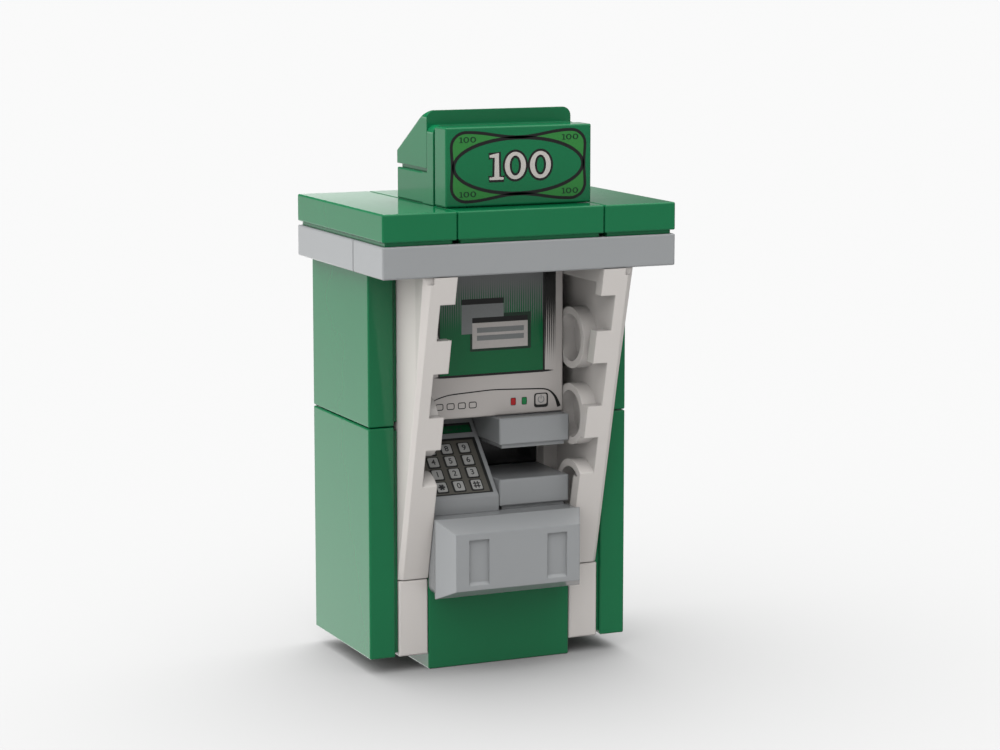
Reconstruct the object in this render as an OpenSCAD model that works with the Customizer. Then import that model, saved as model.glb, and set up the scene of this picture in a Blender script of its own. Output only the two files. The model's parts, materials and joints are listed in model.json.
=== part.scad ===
// Toy cash machine built from interlocking plastic bricks.
// Frame: +X to the right, +Y to the back, +Z up, origin under the middle of the model on the floor.
// Rows run front to back and are one pitch deep; layers are one plate thick.

/* [Brick system] */
// Distance between neighbouring studs
pitch = 8; // [7.9:0.05:8.1]
// Height of a plate and of a tile; a brick is three of these
plate_h = 3.2; // [3.1:0.05:3.3]
// Diameter of a stud
stud_d = 4.8; // [4.7:0.05:4.85]
// Height of a stud
stud_h = 1.7; // [1.5:0.1:1.8]
// Gap left on every side of a piece
play = 0.05; // [0.02:0.01:0.1]
// Gap left around a stud inside a socket
stud_gap = 0.05; // [0.02:0.01:0.1]
// Thickness of the closed top of a hollow piece
skin = 1; // [0.8:0.1:1.2]
// Chamfer along outer edges
edge = 0.12; // [0.05:0.01:0.2]
// Height and depth of the pry groove round the foot of a tile
groove = 0.4; // [0.3:0.05:0.5]

/* [Brackets] */
// Thickness of a bracket's upright arm
arm_t = 1.6; // [1.4:0.1:1.8]
// Radius of an arm's free corners
arm_round = 0.9; // [0.4:0.1:1.5]

/* [Front bar] */
// How far the bar's sides lean in from foot to face, left and right
bar_lean_x = 1.05; // [0.6:0.05:1.4]
// How far they lean in above and below
bar_lean_z = 1; // [0.6:0.05:1.4]
// Height of the bar's straight foot above its bracket
bar_foot = 0.65; // [0.5:0.05:0.9]
// How far that foot stands out over its bracket on every side
bar_proud = 0.15; // [0:0.05:0.2]
// Width of each hollow in the bar's face
pocket_w = 2.2; // [1.5:0.1:3]
// Height of each hollow
pocket_h = 4.7; // [3:0.1:5]
// Depth of each hollow
pocket_t = 0.3; // [0.1:0.05:0.6]
// Distance of each hollow's middle from the bar's middle
pocket_x = 4.35; // [3.5:0.05:4.8]
// Distance of the hollows' middles below the bar's middle
pocket_drop = 0.1; // [0:0.05:0.3]

/* [Wedge cheeks] */
// Thickness of a cheek's outer skin
cheek_skin = 1.6; // [1.2:0.1:1.8]
// Thickness of the rim round a cheek's hollow side
cheek_rim = 1.5; // [1.2:0.1:1.8]
// Bevel of the outer front edge, measured across the cheek
bevel_x = 0.8; // [0.5:0.05:1]
// Bevel of the outer front edge, measured back from it
bevel_y = 0.65; // [0.2:0.05:0.8]
// How far the outer side swells out at its upper front edge
swell = 0.35; // [0.05:0.05:0.45]
// Height of the step in the upper front corner
step_h = 0.75; // [0.4:0.05:1.2]

/* [Slopes] */
// Height of the lip under the keypad's slope
keypad_lip = 1.6; // [1.2:0.1:2]
// Height of the lip behind the sign's slope
cap_lip = 1.7; // [1.4:0.1:2]
// Radius of the sign slope's upper corners
cap_round = 0.9; // [0.4:0.1:1.5]
// Height by which the sign slope's crest is blunted
cap_blunt = 0.2; // [0.1:0.05:0.4]

/* [Hidden] */
$fn = 48;
fuse = 0.3;                                   // how deep joined shapes run into each other
over = 1;                                     // how far a cut runs past a surface
brick_h = 3 * plate_h;
wall = (pitch - stud_d) / 2 - play - stud_gap;
pin_d = pitch - stud_d - 2 * stud_gap;
tube_d = sqrt(2) * pitch - stud_d - 2 * stud_gap;
bore_d = stud_d + 2 * stud_gap;

row_front = -pitch;                           // middle of the front row
row_mid = 0;
row_back = pitch;
col = pitch / 2;                              // middle of the columns beside the centre line

z_base_plate = 3 * plate_h;
z_bracket = 4 * plate_h;
z_desk = 5 * plate_h;
z_slot_top = 7 * plate_h;
z_screen = 8 * plate_h;
z_core = 10 * plate_h;
z_slab = 13 * plate_h;
z_roof = 14 * plate_h;
z_sign = 15 * plate_h;
z_cap = 16 * plate_h;

side_stud_z = brick_h - pitch / 2;            // height of a side stud above its brick's foot
side_foot = side_stud_z - pitch / 2;          // lowest edge of the sideways pieces
x_side = pitch;                               // foot plane of the cheeks and backing plates
x_wall = x_side + plate_h;                    // foot plane of the wall tiles
wall_low_tall = 3;                            // wall tiles in studs, lower and upper
wall_top_tall = 2;
z_wall_top = side_foot + wall_low_tall * pitch;

y_core = pitch / 2;                           // front plane of the core
y_screen = y_core - plate_h;                  // foot plane of the screen tile
y_arm = -pitch / 2 - arm_t;                   // front plane of both bracket arms
arm_h = pitch;

cheek_z = side_foot + pitch;                  // foot of the cheeks
cheek_tall = 4 * pitch;
cheek_slant = atan(pitch / cheek_tall);
cheek_tubes = [1, 2, 3];                      // tubes, in pitches above the foot
cheek_notches = [[11.8, 4.3], [19.7, 4.6], [27.3, 3.7]];   // middle above the foot, height
swell_back = 3.3;                             // depth of the swollen strip at the cheek's top
step_x = 1.1;                                 // width of the step in the cheek's upper front corner
step_y = 0.5;                                 // and its depth

green = "#23834a";
grey = "#9a9c9e";
white = "#e6e1dd";
dark = "#2b2d2f";
pale = "#c9c6c2";

// ---- Shapes that every piece shares: foot on z = 0, centred on x and y ----

// Outline of a rectangle standing on y = 0 with cut corners
function cut_corners(w, h) = [
    [edge - w / 2, 0], [w / 2 - edge, 0], [w / 2, edge], [w / 2, h - edge],
    [w / 2 - edge, h], [edge - w / 2, h], [-w / 2, h - edge], [-w / 2, edge]
];

// Size of a piece that covers n studs
function span(n) = n * pitch - 2 * play;

module along_x(length) {
    translate([-length / 2, 0, 0]) rotate([90, 0, 90]) linear_extrude(length) children();
}

module along_y(length) {
    translate([0, length / 2, 0]) rotate([90, 0, 0]) linear_extrude(length) children();
}

// Box with a small chamfer on all its edges
module block(w, d, h) {
    intersection() {
        translate([0, -d / 2, 0]) linear_extrude(h) polygon(cut_corners(w, d));
        along_y(d) polygon(cut_corners(w, h));
        along_x(w) polygon(cut_corners(d, h));
    }
}

module plain_box(w, d, h) {
    translate([-w / 2, -d / 2, 0]) cube([w, d, h]);
}

module stud() {
    translate([0, 0, -fuse]) cylinder(d = stud_d, h = stud_h - edge + fuse);
    translate([0, 0, stud_h - edge]) cylinder(d1 = stud_d, d2 = stud_d - 2 * edge, h = edge);
}

module stud_grid(nx, ny) {
    for (i = [0:nx - 1], j = [0:ny - 1])
        translate([(i - (nx - 1) / 2) * pitch, (j - (ny - 1) / 2) * pitch, 0]) stud();
}

// Pins under a narrow piece, tubes under a wide one
module supports(nx, ny, h) {
    n_long = max(nx, ny);
    turn = nx >= ny ? 0 : 90;
    if (n_long > 1)
        for (i = [1:n_long - 1])
            rotate([0, 0, turn]) translate([(i - n_long / 2) * pitch, 0, -over])
                if (min(nx, ny) == 1)
                    cylinder(d = pin_d, h = h + over);
                else
                    difference() {
                        cylinder(d = tube_d, h = h + over);
                        cylinder(d = bore_d, h = h + over);
                    }
}

// The hollow under a piece, with its pins or tubes left standing
module hollow(nx, ny, depth) {
    difference() {
        translate([0, 0, -over]) plain_box(span(nx) - 2 * wall, span(ny) - 2 * wall, depth + over);
        supports(nx, ny, depth);
    }
}

module plate(nx, ny, h = plate_h) {
    difference() {
        block(span(nx), span(ny), h);
        hollow(nx, ny, h - skin);
    }
    translate([0, 0, h]) stud_grid(nx, ny);
}

module tile(nx, ny) {
    difference() {
        union() {
            translate([0, 0, groove]) block(span(nx), span(ny), plate_h - groove);
            plain_box(span(nx) - 2 * groove, span(ny) - 2 * groove, plate_h / 2);
        }
        hollow(nx, ny, plate_h - skin);
    }
}

// Turns a piece so that its top faces the front
module face_front() {
    rotate([90, 0, 0]) children();
}

// Turns a piece so that its top faces out to the left (-1) or to the right (1)
module face_out(side) {
    mirror([side > 0 ? 1 : 0, 0, 0]) rotate([0, -90, 0]) children();
}

// ---- Base ----

module side_stud(side, z) {
    translate([side * span(1) / 2, 0, z]) face_out(side) stud();
}

module base_brick() {
    plate(2, 1, brick_h);
    for (side = [-1, 1])
        translate([side * pitch / 2, 0, 0]) side_stud(side, side_stud_z);
}

module base_front_brick() {
    color(green) translate([0, row_mid, 0]) base_brick();
}

module base_rear_brick() {
    color(green) translate([0, row_back, 0]) base_brick();
}

module base_plate() {
    color(green) translate([0, (row_mid + row_back) / 2, z_base_plate]) plate(2, 2);
}

module base_spacer_plate() {
    color(dark) translate([0, row_back, z_bracket]) plate(2, 1);
}

// ---- Brackets: a flat plate with a thin upright arm along its front edge ----

// Arm outline with its two free corners rounded; grows up (1) or down (-1) from y = 0
module arm_outline(way) {
    w = span(2);
    mirror([0, way > 0 ? 0 : 1]) {
        translate([-w / 2, 0]) square([w, arm_h - arm_round]);
        translate([arm_round - w / 2, 0]) square([w - 2 * arm_round, arm_h]);
        for (side = [-1, 1])
            translate([side * (w / 2 - arm_round), arm_h - arm_round]) circle(r = arm_round);
    }
}

module bracket(way) {
    root_z = way > 0 ? 0 : plate_h;
    plate(2, 1);
    translate([0, -pitch / 2, root_z]) face_front() {
        linear_extrude(arm_t) arm_outline(way);
        translate([0, way * arm_h / 2, arm_t]) stud_grid(2, 1);
    }
    translate([-span(2) / 2, -pitch / 2 - fuse, 0]) cube([span(2), wall, plate_h]);
}

module lower_bracket() {
    color(grey) translate([0, row_mid, z_bracket]) bracket(-1);
}

// ---- Front bar: an ingot-shaped tile on the lower bracket's arm ----

// Outline of the leaning sides: a straight foot, then a trapezium
function bar_outline(w, lean) = [
    [-w / 2, groove], [w / 2, groove], [w / 2, bar_foot],
    [w / 2 - lean, plate_h], [lean - w / 2, plate_h], [-w / 2, bar_foot]
];

// Hollow in the face: a square upper end and a sloping lower end
module pocket() {
    along_x(pocket_w)
        polygon([
            [-pocket_h / 2, plate_h + over], [-pocket_h / 2, plate_h],
            [-pocket_h / 2 + pocket_t, plate_h - pocket_t],
            [pocket_h / 2, plate_h - pocket_t], [pocket_h / 2, plate_h + over]
        ]);
}

module bar() {
    wide_x = span(2) + 2 * bar_proud;
    wide_y = span(1) + 2 * bar_proud;
    difference() {
        union() {
            intersection() {
                along_y(wide_y) polygon(bar_outline(wide_x, bar_lean_x + bar_proud));
                along_x(wide_x) polygon(bar_outline(wide_y, bar_lean_z + bar_proud));
            }
            plain_box(span(2) - 2 * groove, span(1) - 2 * groove, bar_foot);
        }
        hollow(2, 1, plate_h - skin - pocket_t);
        for (side = [-1, 1])
            translate([side * pocket_x, -pocket_drop, 0]) pocket();
    }
}

module front_bar() {
    color(grey) translate([0, y_arm, z_desk - arm_h / 2]) face_front() bar();
}

// ---- Desk: keypad slope on the left, cash slot on the right ----

// Side outline of the keypad: lip, slope of 45 degrees, flat rear half
function keypad_outline(d, h, y_turn) = [
    [-d / 2, 0], [d / 2, 0], [d / 2, h], [y_turn, h], [-d / 2, h - y_turn - d / 2]
];

module keypad_slope() {
    d = span(2);
    y_turn = brick_h - keypad_lip - d / 2;
    color(grey) translate([-col, (row_mid + row_back) / 2, z_desk]) {
        difference() {
            along_x(span(1)) polygon(keypad_outline(d, brick_h, y_turn));
            translate([0, 0, -over]) plain_box(span(1) - 2 * wall, d - 2 * wall, plate_h - skin + over);
            translate([0, (d - 2 * wall) / 4, -over])
                plain_box(span(1) - 2 * wall, d / 2 - wall, brick_h - skin + over);
        }
        translate([0, pitch / 2, brick_h]) stud();
    }
}

module lower_slot_tile() {
    color(grey) translate([col, row_mid, z_desk]) tile(1, 1);
}

module slot_spacer_lower() {
    color(dark) translate([col, row_back, z_desk]) plate(1, 1);
}

module slot_spacer_upper() {
    color(dark) translate([col, row_back, z_desk + plate_h]) plate(1, 1);
}

module upper_slot_tile() {
    color(grey) translate([col, (row_mid + row_back) / 2, z_slot_top]) tile(1, 2);
}

// ---- Core behind the screen ----

module core_plate_lower() {
    color(dark) translate([0, row_back, z_screen]) plate(2, 1);
}

module core_plate_upper() {
    color(dark) translate([0, row_back, z_screen + plate_h]) plate(2, 1);
}

// One-stud brick with a stud on its front and one on its outer side
module core_brick(side) {
    translate([side * col, row_back, z_core]) {
        plate(1, 1, brick_h);
        side_stud(side, side_stud_z);
        translate([0, -span(1) / 2, side_stud_z]) face_front() stud();
    }
}

module core_brick_left() {
    color(dark) core_brick(-1);
}

module core_brick_right() {
    color(dark) core_brick(1);
}

module screen_plate() {
    color(pale) translate([0, y_core, z_screen + pitch]) face_front() plate(2, 2);
}

module screen_tile() {
    color(pale) translate([0, y_screen, z_screen + pitch]) face_front() tile(2, 2);
}

// ---- Sides: sideways plates, cheeks and wall tiles ----

module foot_plate(side) {
    translate([side * x_side, (row_mid + row_back) / 2, side_stud_z]) face_out(side) plate(1, 2);
}

module left_foot_plate() {
    color(white) foot_plate(-1);
}

module right_foot_plate() {
    color(white) foot_plate(1);
}

module backing_plate(side) {
    translate([side * x_side, row_back, cheek_z + cheek_tall / 2]) face_out(side) plate(4, 1);
}

module left_backing_plate() {
    color(white) backing_plate(-1);
}

module right_backing_plate() {
    color(white) backing_plate(1);
}

// Cheek outline in y and z, drawn in by inset_y at the slanting front and by inset at the other edges
function cheek_outline(inset_y, inset) = [
    [-pitch / 2 + inset_y - inset / 4, cheek_z + inset],
    [pitch / 2 - inset, cheek_z + inset],
    [pitch / 2 - inset, cheek_z + cheek_tall - inset],
    [-1.5 * pitch + inset_y + inset / 4, cheek_z + cheek_tall - inset]
];

// Extrudes an outline in y and z from x to x + length
module from_x(x, length) {
    translate([x, 0, 0]) rotate([90, 0, 90]) linear_extrude(length) children();
}

// Everything in front of a leaning line, cut to a slanting or tilted plane
module lean_cut(y, z, lean) {
    translate([0, y, z]) rotate([lean, 0, 0])
        translate([0, 0, -cheek_tall]) linear_extrude(3 * cheek_tall) children();
}

// Position in y of the inner side of the slanting rim, at a height above the floor
function rim_y(z) = cheek_rim + play - pitch / 2 - (z - cheek_z) / 4;

module cheek_notch(z, tall) {
    from_x(x_side - over, plate_h - cheek_skin + over)
        polygon([
            [-2 * pitch, z - tall / 2], [rim_y(z - tall / 2), z - tall / 2],
            [rim_y(z + tall / 2), z + tall / 2], [-2 * pitch, z + tall / 2]
        ]);
}

// The thin wedge by which the outer side swells out towards the slanting front
module cheek_swell() {
    y_top = -1.5 * pitch;
    intersection() {
        from_x(x_wall - fuse, swell + fuse) polygon(cheek_outline(play, play));
        translate([0, 0, cheek_z])
            linear_extrude(cheek_tall)
                polygon([
                    [x_wall - fuse, y_top + swell_back], [x_wall, y_top + swell_back],
                    [x_wall + swell, y_top], [x_wall - fuse, y_top]
                ]);
    }
}

module cheek_body() {
    rim = cheek_rim + play;
    depth = plate_h - cheek_skin;
    difference() {
        union() {
            from_x(x_side, plate_h) polygon(cheek_outline(play, play));
            cheek_swell();
        }
        difference() {
            union() {
                from_x(x_side - over, depth + over) polygon(cheek_outline(rim, rim));
                for (notch = cheek_notches)
                    cheek_notch(cheek_z + notch[0], notch[1]);
            }
            for (n = cheek_tubes)
                translate([x_side - over, -pitch / 2, cheek_z + n * pitch]) rotate([0, 90, 0])
                    difference() {
                        cylinder(d = tube_d, h = depth + over);
                        cylinder(d = bore_d, h = depth + over);
                    }
        }
        lean_cut(-pitch / 2, cheek_z, cheek_slant)
            polygon([
                [x_wall + swell - bevel_x, -over], [x_wall + swell - bevel_x, play],
                [x_wall + swell, play + bevel_y], [x_wall + swell + over, play + bevel_y],
                [x_wall + swell + over, -over]
            ]);
        translate([x_wall + swell - step_x, -2 * pitch, cheek_z + cheek_tall - step_h])
            cube([step_x + over, pitch / 2 + step_y, step_h + over]);
    }
    for (n = [0:3])
        translate([x_wall, row_mid, cheek_z + (n + 0.5) * pitch]) face_out(1) stud();
}

module left_cheek() {
    color(white) mirror([1, 0, 0]) cheek_body();
}

module right_cheek() {
    color(white) cheek_body();
}

module wall_tile(side, z, tall) {
    translate([side * x_wall, (row_mid + row_back) / 2, z + tall * pitch / 2])
        face_out(side) tile(tall, 2);
}

module left_wall_lower() {
    color(green) wall_tile(-1, side_foot, wall_low_tall);
}

module left_wall_upper() {
    color(green) wall_tile(-1, z_wall_top, wall_top_tall);
}

module right_wall_lower() {
    color(green) wall_tile(1, side_foot, wall_low_tall);
}

module right_wall_upper() {
    color(green) wall_tile(1, z_wall_top, wall_top_tall);
}

// ---- Slab and roof ----

module slab_front_plate() {
    color(grey) translate([0, row_front, z_slab]) plate(4, 1);
}

module slab_rear_plate() {
    color(grey) translate([0, (row_mid + row_back) / 2, z_slab]) plate(4, 2);
}

module roof_tile_left() {
    color(green) translate([-1.5 * pitch, row_mid, z_roof]) tile(1, 3);
}

module roof_tile_right() {
    color(green) translate([1.5 * pitch, row_mid, z_roof]) tile(1, 3);
}

module roof_tile_front() {
    color(green) translate([0, row_front, z_roof]) tile(2, 1);
}

module roof_tile_rear() {
    color(green) translate([0, row_back, z_roof]) tile(2, 1);
}

module roof_stud_plate() {
    color(green) translate([0, row_mid, z_roof]) plate(2, 1);
}

// ---- Sign ----

module sign_bracket() {
    color(green) translate([0, row_mid, z_sign]) bracket(1);
}

module sign_tile() {
    color(green) translate([0, y_arm, z_sign + arm_h / 2]) face_front() tile(2, 1);
}

// Front outline of the sign's cap, upper corners rounded
module cap_front(w, h) {
    translate([-w / 2, groove]) square([w, h - groove - cap_round]);
    translate([cap_round - w / 2, groove]) square([w - 2 * cap_round, h - groove]);
    for (side = [-1, 1])
        translate([side * (w / 2 - cap_round), h - cap_round]) circle(r = cap_round);
}

module sign_slope() {
    w = span(2);
    d = span(1);
    h = 2 * plate_h - cap_blunt;
    y_crest = d * cap_blunt / (2 * plate_h - cap_lip) - d / 2;
    color(green) translate([0, row_mid, z_cap])
        difference() {
            union() {
                intersection() {
                    along_y(d) cap_front(w, h);
                    along_x(w)
                        polygon([[-d / 2, 0], [d / 2, 0], [d / 2, cap_lip], [y_crest, h], [-d / 2, h]]);
                }
                plain_box(w - 2 * groove, d - 2 * groove, cap_lip - groove);
            }
            hollow(2, 1, stud_h + stud_gap);
        }
}

base_front_brick();
base_rear_brick();
base_plate();
base_spacer_plate();
lower_bracket();
front_bar();
keypad_slope();
lower_slot_tile();
slot_spacer_lower();
slot_spacer_upper();
upper_slot_tile();
core_plate_lower();
core_plate_upper();
core_brick_left();
core_brick_right();
screen_plate();
screen_tile();
left_foot_plate();
right_foot_plate();
left_backing_plate();
right_backing_plate();
left_cheek();
right_cheek();
left_wall_lower();
left_wall_upper();
right_wall_lower();
right_wall_upper();
slab_front_plate();
slab_rear_plate();
roof_tile_left();
roof_tile_right();
roof_tile_front();
roof_tile_rear();
roof_stud_plate();
sign_bracket();
sign_tile();
sign_slope();
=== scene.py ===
import json
import math
import bpy
import bmesh
import numpy as np
from mathutils import Matrix, Vector


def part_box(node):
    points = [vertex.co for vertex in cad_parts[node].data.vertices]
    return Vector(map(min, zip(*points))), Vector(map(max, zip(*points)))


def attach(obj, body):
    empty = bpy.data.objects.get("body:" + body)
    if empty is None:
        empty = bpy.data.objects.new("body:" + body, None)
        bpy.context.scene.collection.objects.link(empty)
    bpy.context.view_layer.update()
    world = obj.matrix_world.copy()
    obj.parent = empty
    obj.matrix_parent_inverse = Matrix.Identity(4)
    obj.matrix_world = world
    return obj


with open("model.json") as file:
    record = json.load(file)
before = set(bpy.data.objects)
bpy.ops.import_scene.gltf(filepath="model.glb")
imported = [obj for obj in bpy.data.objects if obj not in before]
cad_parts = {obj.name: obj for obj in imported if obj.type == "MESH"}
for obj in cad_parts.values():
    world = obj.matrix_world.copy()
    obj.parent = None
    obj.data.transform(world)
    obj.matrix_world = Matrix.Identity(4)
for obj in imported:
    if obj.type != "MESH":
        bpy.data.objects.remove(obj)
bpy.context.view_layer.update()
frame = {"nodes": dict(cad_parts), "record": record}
scene = bpy.context.scene
mm = 0.001

# ---------- view and light ----------

shot = {
    "target": (0.925 * mm, -2.044 * mm, 29.830 * mm),
    "azimuth": -24.026,       # degrees, 0 looks along +Y
    "elevation": 8.9914,
    "distance": 292.643 * mm,
    "lens": 102.119,          # millimetres on a 36 mm sensor
}
# Radiance of the surround. Matt surfaces see a dome, brightest high on the left, and a broad key light
# behind on the right. Glossy ones see a dark wall with panels high above it, over a pale floor that shines
# at the back. Each pair says where a soft step begins and ends, in the slope of a direction.
studio = {
    "domeGain": 2.85, "domeTowards": (-0.47, 0.0, 0.88), "domeRim": (-0.02, 0.02),
    "keyGain": 3.3, "keyTowards": (0.36, 0.55, 0.75),
    "wall": 0.06, "panels": 1.1, "panelStep": (0.3, 0.8), "horizon": (0.0945, 0.1015),
    "floorFront": 0.3, "floorBack": 0.76, "depthStep": (-0.3, 0.5),
    "floorNear": 1.3, "nearStep": (0.08, 0.26),     # steeply below
    "floorFar": 1.5, "farStep": (-0.03, 0.09),      # close to the horizon
    "dimTowards": (0.94, -0.34, 0.0), "dimStep": (0.01, 0.15), "dimmed": 0.1,   # share kept on the right
    "backdrop": 1.1,                                # what the camera sees behind the floor
    "floorSize": 6.0, "floorColour": (0.377, 0.377, 0.377),
}


# The camera looks at the target from an azimuth, an elevation and a distance
def makeCamera(s):
    azimuth, elevation = math.radians(s["azimuth"]), math.radians(s["elevation"])
    back = Vector((math.sin(azimuth) * math.cos(elevation),
                   -math.cos(azimuth) * math.cos(elevation), math.sin(elevation)))
    data = bpy.data.cameras.new("studioCamera")
    data.lens, data.sensor_width = s["lens"], 36
    data.clip_start, data.clip_end = 0.01, 20
    camera = bpy.data.objects.new("studioCamera", data)
    scene.collection.objects.link(camera)
    camera.location = Vector(s["target"]) + back * s["distance"]
    camera.rotation_euler = (-back).to_track_quat("-Z", "Y").to_euler()
    scene.camera = camera


# One socket of a node tree; sums, differences, products and quotients of it add Math nodes
class Wire:
    def __init__(self, finish, socket):
        self.finish, self.socket = finish, socket

    def maths(self, operation, first, second=0.0):
        return self.finish.node("ShaderNodeMath", {"operation": operation}, {0: first, 1: second})

    def __add__(self, other):
        return self.maths("ADD", self, other)

    def __radd__(self, other):
        return self.maths("ADD", other, self)

    def __sub__(self, other):
        return self.maths("SUBTRACT", self, other)

    def __rsub__(self, other):
        return self.maths("SUBTRACT", other, self)

    def __mul__(self, other):
        return self.maths("MULTIPLY", self, other)

    def __rmul__(self, other):
        return self.maths("MULTIPLY", other, self)

    def __truediv__(self, other):
        return self.maths("DIVIDE", self, other)

    # 0 below low, 1 above high, a soft step between
    def step(self, low, high):
        return self.finish.node("ShaderNodeMapRange", {"interpolation_type": "SMOOTHSTEP"},
                                {"Value": self, "From Min": low, "From Max": high})


# A node tree under construction: a material's or the world's
class Finish:
    def __init__(self, tree):
        self.tree = tree
        tree.nodes.clear()

    def node(self, kind, settings=None, inputs=None, out=0):
        made = self.tree.nodes.new(kind)
        for key, value in (settings or {}).items():
            setattr(made, key, value)
        for key, value in (inputs or {}).items():
            if isinstance(value, Wire):
                self.tree.links.new(value.socket, made.inputs[key])
            else:
                made.inputs[key].default_value = value
        return Wire(self, made.outputs[out]) if len(made.outputs) else made

    def mix(self, share, colourA, colourB):
        made = self.tree.nodes.new("ShaderNodeMix")
        made.data_type = "RGBA"
        self.tree.links.new(share.socket, made.inputs["Factor"])
        for key, value in ((6, colourA), (7, colourB)):
            if isinstance(value, Wire):
                self.tree.links.new(value.socket, made.inputs[key])
            else:
                made.inputs[key].default_value = (*value, 1.0)
        return Wire(self, made.outputs[2])


def makeStudio(s):
    world = bpy.data.worlds.new("studioSurround")
    world.use_nodes = True
    scene.world = world
    f = Finish(world.node_tree)
    way = f.node("ShaderNodeTexCoord", out="Generated")

    def along(direction):
        unit = tuple(Vector(direction).normalized())
        return f.node("ShaderNodeVectorMath", {"operation": "DOT_PRODUCT"}, {0: way, 1: unit}, "Value")

    up, back = along((0, 0, 1)), along((0, 1, 0))
    soft = f.node("ShaderNodeMath", {"operation": "MAXIMUM"}, {0: along(s["domeTowards"]), 1: 0.0})
    key = f.node("ShaderNodeMath", {"operation": "MAXIMUM"}, {0: along(s["keyTowards"]), 1: 0.0})
    dome = (soft * s["domeGain"] + key * key * key * key * s["keyGain"]) * up.step(*s["domeRim"])
    wall = up.step(*s["panelStep"]) * s["panels"] + s["wall"]
    down = 0 - up
    stretch = (s["floorBack"] + down.step(*s["nearStep"]) * (s["floorNear"] - s["floorBack"])
               + up.step(*s["farStep"]) * (s["floorFar"] - s["floorBack"]))
    bright = stretch * (1 - along(s["dimTowards"]).step(*s["dimStep"]) * (1 - s["dimmed"]))
    ground = s["floorFront"] + back.step(*s["depthStep"]) * (bright - s["floorFront"])
    sky = up.step(*s["horizon"])
    shine = ground + sky * (wall - ground)
    glossy = f.node("ShaderNodeLightPath", out="Is Glossy Ray")
    seen = f.node("ShaderNodeLightPath", out="Is Camera Ray")
    level = dome + glossy * (shine - dome) + seen * (s["backdrop"] - dome)
    glow = f.node("ShaderNodeBackground", {}, {"Color": (1, 1, 1, 1), "Strength": level})
    f.node("ShaderNodeOutputWorld", {}, {"Surface": glow})

    # The floor: dull paper from above, clear from below, so that the underside can be looked at
    half = s["floorSize"] / 2
    mesh = bpy.data.meshes.new("studioFloor")
    corners = [(-half, -half, 0), (half, -half, 0), (half, half, 0), (-half, half, 0)]
    mesh.from_pydata(corners, [], [(0, 1, 2, 3)])
    floor = bpy.data.objects.new("studioFloor", mesh)
    scene.collection.objects.link(floor)
    material = bpy.data.materials.new("paleFloor")
    material.use_nodes = True
    f = Finish(material.node_tree)
    paper = f.node("ShaderNodeBsdfDiffuse", {}, {"Color": (*s["floorColour"], 1)})
    clear = f.node("ShaderNodeBsdfTransparent")
    below = f.node("ShaderNodeNewGeometry", out="Backfacing")
    sheet = f.node("ShaderNodeMixShader", {}, {0: below, 1: paper, 2: clear})
    f.node("ShaderNodeOutputMaterial", {}, {"Surface": sheet})
    mesh.materials.append(material)
    floor.visible_glossy = False


scene.view_settings.view_transform = "Standard"
makeCamera(shot)
makeStudio(studio)
print("camera and studio ready")

# ---------- moulded plastic ----------

# Colours are linear light, and rough is the middle of each plastic's roughness
plastics = {
    "green_plastic": {"colour": (0.0045, 0.142, 0.052), "rough": 0.10},
    "grey_plastic": {"colour": (0.285, 0.294, 0.30), "rough": 0.13},
    "white_plastic": {"colour": (0.585, 0.555, 0.53), "rough": 0.13},
    "pale_plastic": {"colour": (0.48, 0.45, 0.43), "rough": 0.13},
    "dark_plastic": {"colour": (0.012, 0.012, 0.013), "rough": 0.16},
}
# Scales count noise cells in a metre
plasticDetail = {
    "drift": 0.04, "driftScale": 85,        # slow unevenness of the colour, as a share of it
    "wander": 0.05,                         # the same unevenness in the gloss
    "peel": 0.0000004, "peelScale": 620,    # height of the mould's ripple in metres
    "scuff": 0.05, "scuffScale": 2600,      # fine upright handling marks in the gloss
    "scuffStretch": 0.15, "scuffStep": (0.55, 0.75),
    "edgeRadius": 0.00016,                  # rounding that light sees along every edge, in metres
    "passedOn": 0.2,                        # share of the colour in light that goes on to other surfaces
}


def plastic(name, colour, rough, d=plasticDetail):
    material = bpy.data.materials.new(name)
    material.use_nodes = True
    f = Finish(material.node_tree)
    place = f.node("ShaderNodeTexCoord", out="Object")
    cloud = f.node("ShaderNodeTexNoise", {}, {"Vector": place, "Scale": d["driftScale"], "Detail": 2.0})
    ripple = f.node("ShaderNodeTexNoise", {}, {"Vector": place, "Scale": d["peelScale"], "Detail": 1.0})
    stretched = f.node("ShaderNodeMapping", {}, {"Vector": place, "Scale": (1.0, 1.0, d["scuffStretch"])})
    marks = f.node("ShaderNodeTexNoise", {}, {"Vector": stretched, "Scale": d["scuffScale"], "Detail": 3.0})
    darker = tuple(c * (1 - d["drift"]) for c in colour)
    lighter = tuple(c * (1 + d["drift"]) for c in colour)
    passing = f.node("ShaderNodeLightPath", out="Is Diffuse Ray")
    paint = f.mix(passing, f.mix(cloud, darker, lighter), tuple(c * d["passedOn"] for c in colour))
    gloss = marks.step(*d["scuffStep"]) * d["scuff"] + cloud * d["wander"] + (rough - d["wander"] / 2)
    softEdge = f.node("ShaderNodeBevel", {"samples": 4}, {"Radius": d["edgeRadius"]})
    bumped = f.node("ShaderNodeBump", {}, {"Strength": 1.0, "Distance": d["peel"], "Height": ripple,
                                           "Normal": softEdge})
    shell = f.node("ShaderNodeBsdfPrincipled", {}, {"Base Color": paint, "Roughness": gloss,
                                                    "Normal": bumped, "IOR": 1.5})
    f.node("ShaderNodeOutputMaterial", {}, {"Surface": shell})
    return material


# Pieces whose edges are moulded visibly round
rounding = {
    "radius": {"front_bar": 0.00036, "left_cheek": 0.00016, "right_cheek": 0.00016,
               "keypad_slope": 0.00014, "sign_slope": 0.0003},      # metres
    "segments": 3,
    "sharp": 24,        # degrees: flatter edges stay as they are
}


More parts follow.
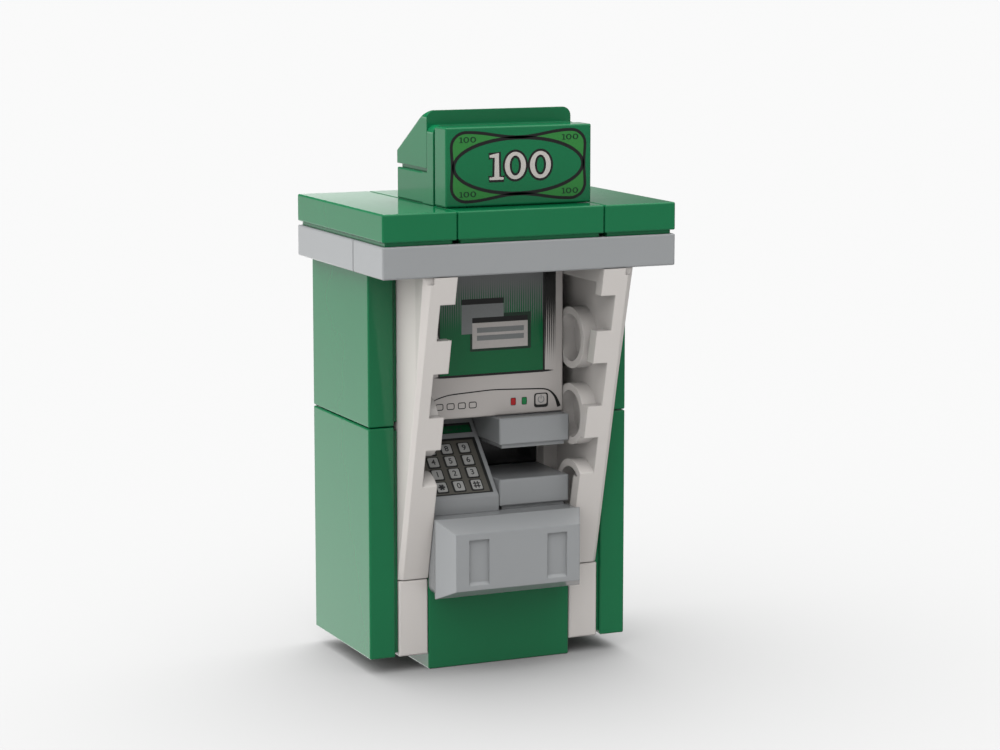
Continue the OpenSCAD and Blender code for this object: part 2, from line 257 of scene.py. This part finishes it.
def roundEdges(piece, radius, r=rounding):
    bevel = piece.modifiers.new("roundedEdges", "BEVEL")
    bevel.width, bevel.segments = radius, r["segments"]
    bevel.limit_method, bevel.angle_limit = "ANGLE", math.radians(r["sharp"])


# Each piece gets the plastic of its slot; a printed piece is moulded in the colour under its ink
def dressNodes():
    made = {slot: plastic(slot, **values) for slot, values in plastics.items()}
    made["sign_print"] = made["green_plastic"]
    made["screen_print"] = made["pale_plastic"]
    made["keypad_print"] = made["grey_plastic"]
    slots = {part["node"]: part["material_slot"] for part in frame["record"]["subparts"]}
    for name, piece in frame["nodes"].items():
        piece.data.materials.clear()
        piece.data.materials.append(made[slots[name]])
        if name in rounding["radius"]:
            roundEdges(piece, rounding["radius"][name])


dressNodes()
print("plastic on", len(frame["nodes"]), "pieces")

# ---------- flat outlines, in millimetres across and up a face ----------

outlinePoints = 96
turn = np.linspace(0, 2 * np.pi, outlinePoints, endpoint=False)


# x = middle + half width times cosine, y = middle + half height times sine
def ellipse(x, y, halfW, halfH):
    return np.c_[x + halfW * np.cos(turn), y + halfH * np.sin(turn)]


# The same with both cosine and sine raised to 2 / fullness, which squares the ellipse's corners
def softBox(x, y, width, height, fullness):
    c, s = np.cos(turn), np.sin(turn)
    power = 2 / fullness
    across = np.sign(c) * np.abs(c) ** power
    upward = np.sign(s) * np.abs(s) ** power
    return np.c_[x + width / 2 * across, y + height / 2 * upward]


# Four corners, half the width and half the height from the middle
def plainBox(x, y, width, height):
    w, h = width / 2, height / 2
    return np.array([[x - w, y - h], [x + w, y - h], [x + w, y + h], [x - w, y + h]])


# A thin bar about its middle, turned by an angle
def bar(x, y, length, width, angle):
    c, s = math.cos(angle), math.sin(angle)
    return plainBox(0, 0, length, width) @ np.array([[c, s], [-s, c]]) + (x, y)


# A plain box from its left, bottom, right and top
def field(sides):
    left, bottom, right, top = sides
    return plainBox((left + right) / 2, (bottom + top) / 2, right - left, top - bottom)


# Each point moved outward along the outline's normal, which is the tangent turned by a right angle
def widened(outline, distance):
    tangent = np.roll(outline, -1, 0) - np.roll(outline, 1, 0)
    tangent = tangent / np.linalg.norm(tangent, axis=1)[:, None]
    return outline + distance * np.c_[tangent[:, 1], -tangent[:, 0]]


# Every print starts this far inside its brick, in millimetres, so that no gap shows under it
inkFoot = -0.01


# A face that carries print: its middle in metres, and the directions across, up and out
class Face:
    def __init__(self, middle, up, out, body):
        self.middle, self.body = np.array(middle), body
        self.across, self.up, self.out = np.array([1.0, 0, 0]), np.array(up, float), np.array(out, float)

    # Middle plus x times across, y times up and height times out
    def place(self, flat, height):
        flat = np.asarray(flat, float) * mm
        return (self.middle + flat[:, :1] * self.across + flat[:, 1:2] * self.up
                + height * mm * self.out)

    def matrix(self):
        m = Matrix.Identity(4)
        for i, axis in enumerate((self.across, self.up, self.out, self.middle)):
            for j in range(3):
                m[j][i] = axis[j]
        return m


# Ink of one colour on one face: thin closed slabs, high millimetres proud, gathered into one mesh
class Ink:
    def __init__(self, name, face, high, low=inkFoot):
        self.name, self.face, self.low, self.high = name, face, low, high
        self.mesh = bmesh.new()

    def gather(self, points, faces):
        part = bpy.data.meshes.new("part")
        part.from_pydata(points.tolist(), [], faces)
        self.mesh.from_mesh(part)
        bpy.data.meshes.remove(part)

    # A filled outline: a lower copy, an upper copy and a wall of quads between them
    def fill(self, outline):
        n = len(outline)
        i = np.arange(n)
        j = (i + 1) % n
        points = np.r_[self.face.place(outline, self.low), self.face.place(outline, self.high)]
        walls = np.c_[i, j, j + n, i + n].tolist()
        self.gather(points, [i[::-1].tolist(), (i + n).tolist()] + walls)
        return self

    # The area between two outlines with equally many points: four rings joined in a loop
    def ring(self, outer, inner):
        n = len(outer)
        rings = ((outer, self.low), (outer, self.high), (inner, self.high), (inner, self.low))
        points = np.concatenate([self.face.place(line, height) for line, height in rings])
        i = np.arange(n)
        j = (i + 1) % n
        quads = [np.c_[k * n + i, k * n + j, (k + 1) % 4 * n + j, (k + 1) % 4 * n + i] for k in range(4)]
        self.gather(points, np.concatenate(quads).tolist())
        return self

    # A band of the given width centred on a closed line
    def band(self, line, width):
        return self.ring(widened(line, width / 2), widened(line, -width / 2))

    # An open line of changing width: the points joined, evened out by length, and smoothed by averaging
    # each with its neighbours; half the width then goes to either side along the normal
    def stroke(self, points, widths, count, rounds=12):
        points = np.asarray(points, float)
        along = np.r_[0, np.cumsum(np.linalg.norm(np.diff(points, axis=0), axis=1))]
        a = np.linspace(0, along[-1], count)
        line = np.c_[np.interp(a, along, points[:, 0]), np.interp(a, along, points[:, 1])]
        width = np.interp(a, along, widths)
        for _ in range(rounds):
            line[1:-1] = (line[:-2] + 2 * line[1:-1] + line[2:]) / 4
        tangent = np.gradient(line, axis=0)
        tangent /= np.linalg.norm(tangent, axis=1)[:, None]
        side = np.c_[-tangent[:, 1], tangent[:, 0]] * width[:, None] / 2
        return self.fill(np.r_[line - side, (line + side)[::-1]])

    # Plain numerals and signs from the built-in letter shapes
    def figure(self, text, x, y, size, weight=0.0):
        curve = bpy.data.curves.new("figure", "FONT")
        curve.body, curve.size = text, size
        curve.align_x, curve.align_y = "CENTER", "CENTER"
        curve.extrude, curve.offset = (self.high - self.low) / 2, weight
        holder = bpy.data.objects.new("figure", curve)
        scene.collection.objects.link(holder)
        bpy.context.view_layer.update()
        made = bpy.data.meshes.new_from_object(holder.evaluated_get(bpy.context.evaluated_depsgraph_get()))
        made.transform(Matrix.Translation((x, y, (self.high + self.low) / 2)))
        made.transform(self.face.matrix() @ Matrix.Diagonal((mm, mm, mm, 1)))
        self.mesh.from_mesh(made)
        bpy.data.objects.remove(holder)
        bpy.data.curves.remove(curve)
        bpy.data.meshes.remove(made)
        return self

    # The gathered ink becomes a piece of its own, riding the body of the brick under it
    def dry(self, material, slot):
        bmesh.ops.remove_doubles(self.mesh, verts=self.mesh.verts, dist=1e-8)       # metres
        bmesh.ops.recalc_face_normals(self.mesh, faces=self.mesh.faces)
        mesh = bpy.data.meshes.new(self.name)
        self.mesh.to_mesh(mesh)
        self.mesh.free()
        mesh.materials.append(material)
        piece = bpy.data.objects.new(self.name, mesh)
        scene.collection.objects.link(piece)
        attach(piece, self.face.body)
        return piece


inkDetail = {
    "speckle": 0.07, "speckleScale": 5200.0,    # share of the colour, and noise cells in a metre
    "wander": 0.1, "rough": 0.3,
}


# Printed ink: nearly flat colour with a fine speckle, a little duller than the plastic
def inkColour(name, colour, rough=inkDetail["rough"], d=inkDetail):
    material = bpy.data.materials.new(name)
    material.use_nodes = True
    f = Finish(material.node_tree)
    place = f.node("ShaderNodeTexCoord", out="Object")
    speckle = f.node("ShaderNodeTexNoise", {}, {"Vector": place, "Scale": d["speckleScale"], "Detail": 2.0})
    darker = tuple(c * (1 - d["speckle"]) for c in colour)
    lighter = tuple(c * (1 + d["speckle"]) for c in colour)
    paint = f.mix(speckle, darker, lighter)
    gloss = speckle * d["wander"] + (rough - d["wander"] / 2)
    coat = f.node("ShaderNodeBsdfPrincipled", {}, {"Base Color": paint, "Roughness": gloss})
    f.node("ShaderNodeOutputMaterial", {}, {"Surface": coat})
    return material


# ---------- sign ----------

sign = {
    "shift": (-0.04, 0.02),                 # the print's middle, from the tile's
    "ovalW": 7.06, "ovalH": 2.77, "ovalLine": 0.34,
    "frameLine": 0.3,
    "cornerX": 5.7, "cornerY": 2.02,        # where the rounded corners begin, from the middle
    "topDip": 2.84, "top": 3.43,            # height of the top edge in the middle and near the corners
    "sideDip": 7.2, "side": 7.3,            # the same for the sides
    "lobeGap": 1.09,                        # lobes begin this far out, as the square of the oval's radius
    "numeralW": 1.15, "numeralH": 1.36,     # half sizes of a nought
    "holeW": 0.62, "holeH": 1.0,
    "noughts": (-0.375, 2.375), "one": -2.35, "line": 0.23,
    "small": (5.6, 2.7), "smallX": 0.27, "smallY": 0.21, "smallHole": 0.95,
    "proud": {"lobes": 0.008, "lines": 0.014, "figures": 0.018, "numerals": 0.02},
    "dark": (0.010, 0.010, 0.010), "light": (0.49, 0.465, 0.435),
    "lobes": (0.024, 0.195, 0.036), "figures": (0.003, 0.03, 0.012),
}
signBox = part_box("sign_tile")
signMiddle = (signBox[0] + signBox[1]) / 2
signStart = (signMiddle.x + sign["shift"][0] * mm, signBox[0].y, signMiddle.z + sign["shift"][1] * mm)
signFace = Face(signStart, (0, 0, 1), (0, -1, 0), "sign_face")


# One quarter of the wavy frame, from the top's middle round the corner to the side's middle.
# The top rises from its dip by a squared sine, the corner is a quarter ellipse, and the side falls back
# the same way.
def quarterFrame(s):
    a = np.linspace(0, 1, 24)
    topX = a * s["cornerX"]
    topY = s["topDip"] + (s["top"] - s["topDip"]) * np.sin(a * np.pi / 2) ** 2
    b = np.linspace(0, np.pi / 2, 16)[1:-1]
    cornerX = s["cornerX"] + (s["side"] - s["cornerX"]) * np.sin(b)
    cornerY = s["cornerY"] + (s["top"] - s["cornerY"]) * np.cos(b)
    sideY = (1 - a) * s["cornerY"]
    sideX = s["sideDip"] + (s["side"] - s["sideDip"]) * np.sin((1 - a) * np.pi / 2) ** 2
    return np.c_[np.r_[topX, cornerX, sideX], np.r_[topY, cornerY, sideY]]


# The quarter mirrored across both axes and joined into one loop
def wholeFrame(s):
    q = quarterFrame(s)
    loop = [q[:-1], (q * (1, -1))[::-1][:-1], (q * (-1, -1))[:-1], (q * (-1, 1))[::-1][:-1]]
    return np.concatenate(loop)[::-1]


# The corner area outside the oval and inside the frame: the frame's points beyond the gap, closed by an arc
# of the oval, and mirrored by the two signs
def lobe(s, signX, signY):
    q = quarterFrame(s)
    outside = (q[:, 0] / s["ovalW"]) ** 2 + (q[:, 1] / s["ovalH"]) ** 2 > s["lobeGap"]
    edgeLine = q[outside]
    ends = np.arctan2(edgeLine[[-1, 0], 1] / s["ovalH"], edgeLine[[-1, 0], 0] / s["ovalW"])
    a = np.linspace(ends[0], ends[1], 40)
    arc = np.c_[s["ovalW"] * np.cos(a), s["ovalH"] * np.sin(a)]
    outline = np.r_[edgeLine, arc] * (signX, signY)
    return outline if signX * signY < 0 else outline[::-1]


# The slab-footed one: foot, stem and a slanting flag, as fractions of the numeral's half height
def one(x, y, halfH):
    shape = np.array([[-0.62, -1], [0.51, -1], [0.51, -0.83], [0.16, -0.78], [0.13, 0.96], [-0.62, 0.82],
                      [-0.6, 0.64], [-0.2, 0.62], [-0.23, -0.78], [-0.62, -0.83]])
    return shape * (halfH, halfH) + (x, y)


def buildSign(s):
    dark = inkColour("signDark", s["dark"])
    light = inkColour("signLight", s["light"])
    leaf = inkColour("signLobes", s["lobes"])
    deep = inkColour("signFigures", s["figures"])
    proud = s["proud"]
    lobes = Ink("signLobes", signFace, proud["lobes"])
    for x, y in ((1, 1), (-1, 1), (-1, -1), (1, -1)):
        lobes.fill(lobe(s, x, y))
    lobes.dry(leaf, "sign_print")
    lines = Ink("signLines", signFace, proud["lines"])
    lines.band(wholeFrame(s), s["frameLine"])
    lines.band(ellipse(0, 0, s["ovalW"], s["ovalH"]), s["ovalLine"])
    for x in s["noughts"]:
        lines.ring(ellipse(x, 0, s["numeralW"] + s["line"], s["numeralH"] + s["line"]),
                   ellipse(x, 0, s["holeW"] - s["line"], s["holeH"] - s["line"]))
    lines.fill(widened(one(s["one"], 0, s["numeralH"]), s["line"]))
    lines.dry(dark, "sign_print")
    numerals = Ink("signNumerals", signFace, proud["numerals"])
    for x in s["noughts"]:
        numerals.ring(ellipse(x, 0, s["numeralW"], s["numeralH"]), ellipse(x, 0, s["holeW"], s["holeH"]))
    numerals.fill(one(s["one"], 0, s["numeralH"]))
    numerals.dry(light, "sign_print")
    small = Ink("signFigures", signFace, proud["figures"])
    sx, sy = s["smallX"], s["smallY"]
    for cornerX in (-s["small"][0], s["small"][0]):
        for cornerY in (-s["small"][1], s["small"][1]):
            for x in s["noughts"]:
                outer = ellipse(cornerX + x * sx, cornerY, s["numeralW"] * sx, s["numeralH"] * sy)
                hole = ellipse(cornerX + x * sx, cornerY, s["holeW"] * sx, s["holeH"] * sy * s["smallHole"])
                small.ring(outer, hole)
            small.fill(one(0, 0, s["numeralH"]) * (sx, sy) + (cornerX + s["one"] * sx, cornerY))
    small.dry(deep, "sign_print")
    print("sign printed")


buildSign(sign)

# ---------- screen ----------

# From the tile's middle: left, bottom, right, top of each printed field
screen = {
    "shift": (-0.014, 0.07),                        # the print's middle, from the tile's
    "picture": (-5.93, -3.54, 5.64, 7.75),
    "vents": ((5.86, -3.6, 7.1, 7.75), (-7.1, -3.6, -6.14, 7.75)),
    "edges": ((5.64, -3.54, 5.86, 7.75), (-6.14, -3.54, -5.93, 7.75)),
    "sill": (-6.6, 6.86, -3.63, 0.24),              # left end, right end, height, thickness
    "taper": 0.8, "tip": 0.02,                      # length of its thin ends, and their width
    "rearTitle": (-3.53, 3.7, 1.19, 4.27), "rearBody": (-3.53, 0.67, 1.19, 3.7),
    "title": (-2.33, 1.77, 3.9, 2.31), "body": (-2.33, -0.9, 3.9, 1.77),
    "lines": ((-1.81, 0.74, 3.47, 1.27), (-1.81, -0.07, 3.47, 0.46)),
    "shade": ((-2.57, -1.16), (4.26, -1.16), (4.26, 2.67), (1.19, 2.67), (1.19, 0.67), (-2.57, 0.67)),
    "sweep": ((-7.3, -6.55), (-6.86, -6.0), (-5.1, -5.5), (0, -5.25),
              (6.3, -5.54), (7.14, -6.4), (7.5, -7.5)),
    "sweepWidths": (0.05, 0.1, 0.12, 0.12, 0.14, 0.26, 0.42),
    "buttons": (-6.0, -4.76, -3.51, -2.29), "buttonY": -6.7, "button": (0.79, 0.6), "buttonLine": 0.09,
    "buttonCorner": 5, "powerCorner": 6, "lampCorner": 6,   # how square, as softBox's fullness
    "lamps": {"Red": (2.28, (0.42, 0.012, 0.015)), "Green": (3.53, (0.01, 0.2, 0.06))},
    "lampY": -6.65, "lamp": (0.5, 0.69), "lampEdge": (0.6, 0.8), "lampRough": 0.2,
    "power": (5.445, -6.67, 1.6, 1.52),             # middle and outer size
    "powerDrop": 0.03, "powerRise": 0.06, "powerRim": (0.34, 0.42),
    "symbolRadius": 0.34, "symbolRise": 0.05, "symbolGap": 0.55, "symbolLine": 0.1,
    "symbolStem": (0.33, 0.42),                     # its middle above the button's, and its length
    "proud": {"picture": 0.006, "shade": 0.009, "rear": 0.012, "body": 0.014, "black": 0.016,
              "symbol": 0.018, "lamp": 0.02},
    "black": (0.012, 0.012, 0.012), "shadow": (0.012, 0.04, 0.022),
    "grey": (0.20, 0.21, 0.21), "pale": (0.48, 0.45, 0.43),
}
# Two striped fades: colour below and above, the heights where the change begins and ends, the pitch of the
# stripes, how strongly they show, how soft their edges are, the roughness and what it gains above
stripes = {
    "screenPicture": {"below": (0.005, 0.125, 0.043), "above": (0.165, 0.17, 0.17), "change": (0.0, 7.6),
                      "pitch": 0.25, "reach": 1.9, "edge": (0.05, 0.95), "rough": 0.14, "duller": 0.02},
    "screenVent": {"below": (0.50, 0.47, 0.45), "above": (0.01, 0.01, 0.01), "change": (-4.0, 5.2),
                   "pitch": 0.235, "reach": 2.2, "edge": (0.05, 0.95), "rough": 0.16, "duller": 0.02},
}
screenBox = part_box("screen_tile")
screenMiddle = (screenBox[0] + screenBox[1]) / 2
screenStart = (screenMiddle.x + screen["shift"][0] * mm, screenBox[0].y,
               screenMiddle.z + screen["shift"][1] * mm)
screenFace = Face(screenStart, (0, 0, 1), (0, -1, 0), "screen_face")


# A field that changes from one colour to the other up the tile, through thin upright stripes.
# The share is a smooth step of the height, pushed up and down by the sine of x where it is halfway.
def stripedFinish(name, s):
    material = bpy.data.materials.new(name)
    material.use_nodes = True
    f = Finish(material.node_tree)
    place = f.node("ShaderNodeTexCoord", out="Object")
    x = f.node("ShaderNodeSeparateXYZ", {}, {"Vector": place}, "X")
    z = f.node("ShaderNodeSeparateXYZ", {}, {"Vector": place}, "Z")
    fade = ((z - screenMiddle.z) / mm).step(*s["change"])
    wave = f.node("ShaderNodeMath", {"operation": "SINE"}, {0: x * (2 * math.pi / (s["pitch"] * mm))})
    share = (fade + wave * fade * (1 - fade) * s["reach"]).step(*s["edge"])
    coat = f.node("ShaderNodeBsdfPrincipled", {}, {"Base Color": f.mix(share, s["below"], s["above"]),
                                                   "Roughness": s["rough"] + share * s["duller"]})
    f.node("ShaderNodeOutputMaterial", {}, {"Surface": coat})
    return material


def buildScreen(s):
    black = inkColour("screenBlack", s["black"])
    shade = inkColour("screenShade", s["shadow"])
    grey = inkColour("screenGrey", s["grey"])
    pale = inkColour("screenPale", s["pale"])
    picture = stripedFinish("screenPicture", stripes["screenPicture"])
    vent = stripedFinish("screenVent", stripes["screenVent"])
    proud = s["proud"]
    front = Ink("screenPicture", screenFace, proud["picture"]).fill(field(s["picture"]))
    front.dry(picture, "screen_print")
    vents = Ink("screenVents", screenFace, proud["picture"])
    for place in s["vents"]:
        vents.fill(field(place))
    vents.dry(vent, "screen_print")
    Ink("screenShade", screenFace, proud["shade"]).fill(s["shade"]).dry(shade, "screen_print")
    Ink("screenGrey", screenFace, proud["rear"]).fill(field(s["rearBody"])).dry(grey, "screen_print")
    Ink("screenPale", screenFace, proud["body"]).fill(field(s["body"])).dry(pale, "screen_print")
    dark = Ink("screenBlack", screenFace, proud["black"])
    for place in (s["rearTitle"], s["title"], *s["edges"]):
        dark.fill(field(place))
    left, right, height, thick = s["sill"]
    taper, tip = s["taper"], s["tip"]
    dark.stroke(((left, height), (left + taper, height), (right - taper, height), (right, height)),
                (tip, thick, thick, tip), 24)
    dark.stroke(s["sweep"], s["sweepWidths"], 80)
    for x in s["buttons"]:
        dark.band(softBox(x, s["buttonY"], *s["button"], s["buttonCorner"]), s["buttonLine"])
    x, y, width, height = s["power"]
    rimX, rimY = s["powerRim"]
    dark.ring(softBox(x, y - s["powerDrop"], width, height, s["powerCorner"]),
              softBox(x, y + s["powerRise"], width - rimX, height - rimY, s["powerCorner"]))
    dark.dry(black, "screen_print")
    # The power sign: a circle open at the top, and a stem in the opening
    symbol = Ink("screenSymbol", screenFace, proud["symbol"])
    radius, line = s["symbolRadius"], s["symbolLine"]
    arc = np.linspace(0.5 * math.pi + s["symbolGap"], 2.5 * math.pi - s["symbolGap"], 30)
    circle = np.c_[x + radius * np.cos(arc), y + s["symbolRise"] + radius * np.sin(arc)]
    symbol.stroke(circle, np.full(len(arc), line), 60)
    symbol.fill(plainBox(x, y + s["symbolStem"][0], line, s["symbolStem"][1]))
    for place in s["lines"]:
        symbol.fill(field(place))
    symbol.dry(grey, "screen_print")
    for name, (lampX, colour) in s["lamps"].items():
        edge = Ink("lampEdge" + name, screenFace, proud["body"])
        edge.fill(softBox(lampX, s["lampY"], *s["lampEdge"], s["lampCorner"]))
        edge.dry(black, "screen_print")
        lamp = Ink("lamp" + name, screenFace, proud["lamp"])
        lamp.fill(softBox(lampX, s["lampY"], *s["lamp"], s["lampCorner"]))
        lamp.dry(inkColour("lamp" + name, colour, s["lampRough"]), "screen_print")
    print("screen printed")


buildScreen(screen)

# ---------- keypad ----------

# Left, bottom, right, top of each field: across from the model's middle, and up the slope from its lip
keypad = {
    "lipTop": 1.6, "inset": 0.1,            # height of the lip, and how far up the slope from it zero is
    "panel": (-7.3, 0.52, -0.84, 7.08), "panelEdge": (-7.5, 0.36, -0.5, 7.36),
    "display": (-7.35, 8.03, -0.67, 8.94), "displayEdge": (-7.55, 7.98, -0.5, 9.24),
    "columns": (-5.96, -4.04, -2.06), "rows": {6.1: "789", 4.55: "456", 3.0: "123", 1.43: "*0#"},
    "key": (1.1, 1.16), "corner": 9,        # corner: how square, as softBox's fullness
    "shadowShift": 0.05, "shadowRim": (0.34, 0.3),
    "figure": 0.92, "figureWeight": 0.018,
    "star": (0.74, 0.22), "hashGap": 0.17, "hashUpright": (0.82, 0.15), "hashAcross": (0.78, 0.15),
    "marks": (-6.3, -5.2, -3.1, -2.8, -2.1, -1.75), "markY": 8.45, "mark": (0.24, 0.18),
    "proud": {"border": 0.006, "panel": 0.009, "shadows": 0.011, "marks": 0.012, "caps": 0.014,
              "figures": 0.017},
    "black": (0.012, 0.012, 0.012), "taupe": (0.095, 0.090, 0.077), "cap": (0.36, 0.36, 0.35),
    "ink": (0.035, 0.035, 0.037), "markInk": (0.004, 0.02, 0.01),
    "glass": (0.006, 0.10, 0.035), "glassRough": 0.18,
}
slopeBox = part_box("keypad_slope")
slopeUp = (0, math.sqrt(0.5), math.sqrt(0.5))
slopeOut = (0, -math.sqrt(0.5), math.sqrt(0.5))
keyStart = (0, slopeBox[0].y + keypad["inset"] * mm,
            slopeBox[0].z + (keypad["lipTop"] + keypad["inset"]) * mm)
keyFace = Face(keyStart, slopeUp, slopeOut, "root")


def buildKeypad(k):
    black = inkColour("keyBlack", k["black"])
    taupe = inkColour("keyPanel", k["taupe"])
    cap = inkColour("keyCaps", k["cap"])
    figures = inkColour("keyFigures", k["ink"])
    glass = inkColour("keyDisplay", k["glass"], k["glassRough"])
    mark = inkColour("keyMarks", k["markInk"])
    proud = k["proud"]
    border = Ink("keyBorder", keyFace, proud["border"])
    border.fill(field(k["panelEdge"])).fill(field(k["displayEdge"]))
    border.dry(black, "keypad_print")
    Ink("keyPanel", keyFace, proud["panel"]).fill(field(k["panel"])).dry(taupe, "keypad_print")
    Ink("keyDisplay", keyFace, proud["panel"]).fill(field(k["display"])).dry(glass, "keypad_print")
    marks = Ink("keyMarks", keyFace, proud["marks"])
    for x in k["marks"]:
        marks.fill(plainBox(x, k["markY"], *k["mark"]))
    marks.dry(mark, "keypad_print")
    shadows = Ink("keyShadows", keyFace, proud["shadows"])
    caps = Ink("keyCaps", keyFace, proud["caps"])
    signs = Ink("keyFigures", keyFace, proud["figures"])
    keyW, keyH = k["key"]
    rimX, rimY = k["shadowRim"]
    shift, gap = k["shadowShift"], k["hashGap"]
    for y, row in k["rows"].items():
        for x, symbol in zip(k["columns"], row):
            shadows.fill(softBox(x - shift, y - shift, keyW + rimX, keyH + rimY, k["corner"]))
            caps.fill(softBox(x, y, keyW, keyH, k["corner"]))
            if symbol == "*":
                for turned in (0, math.pi / 3, 2 * math.pi / 3):
                    signs.fill(bar(x, y, *k["star"], turned))
            elif symbol == "#":
                for offset in (-gap, gap):
                    signs.fill(bar(x + offset, y, *k["hashUpright"], math.pi / 2))
                    signs.fill(bar(x, y + offset, *k["hashAcross"], 0))
            else:
                signs.figure(symbol, x, y, k["figure"], k["figureWeight"])
    shadows.dry(black, "keypad_print")
    caps.dry(cap, "keypad_print")
    signs.dry(figures, "keypad_print")
    print("keypad printed")


buildKeypad(keypad)
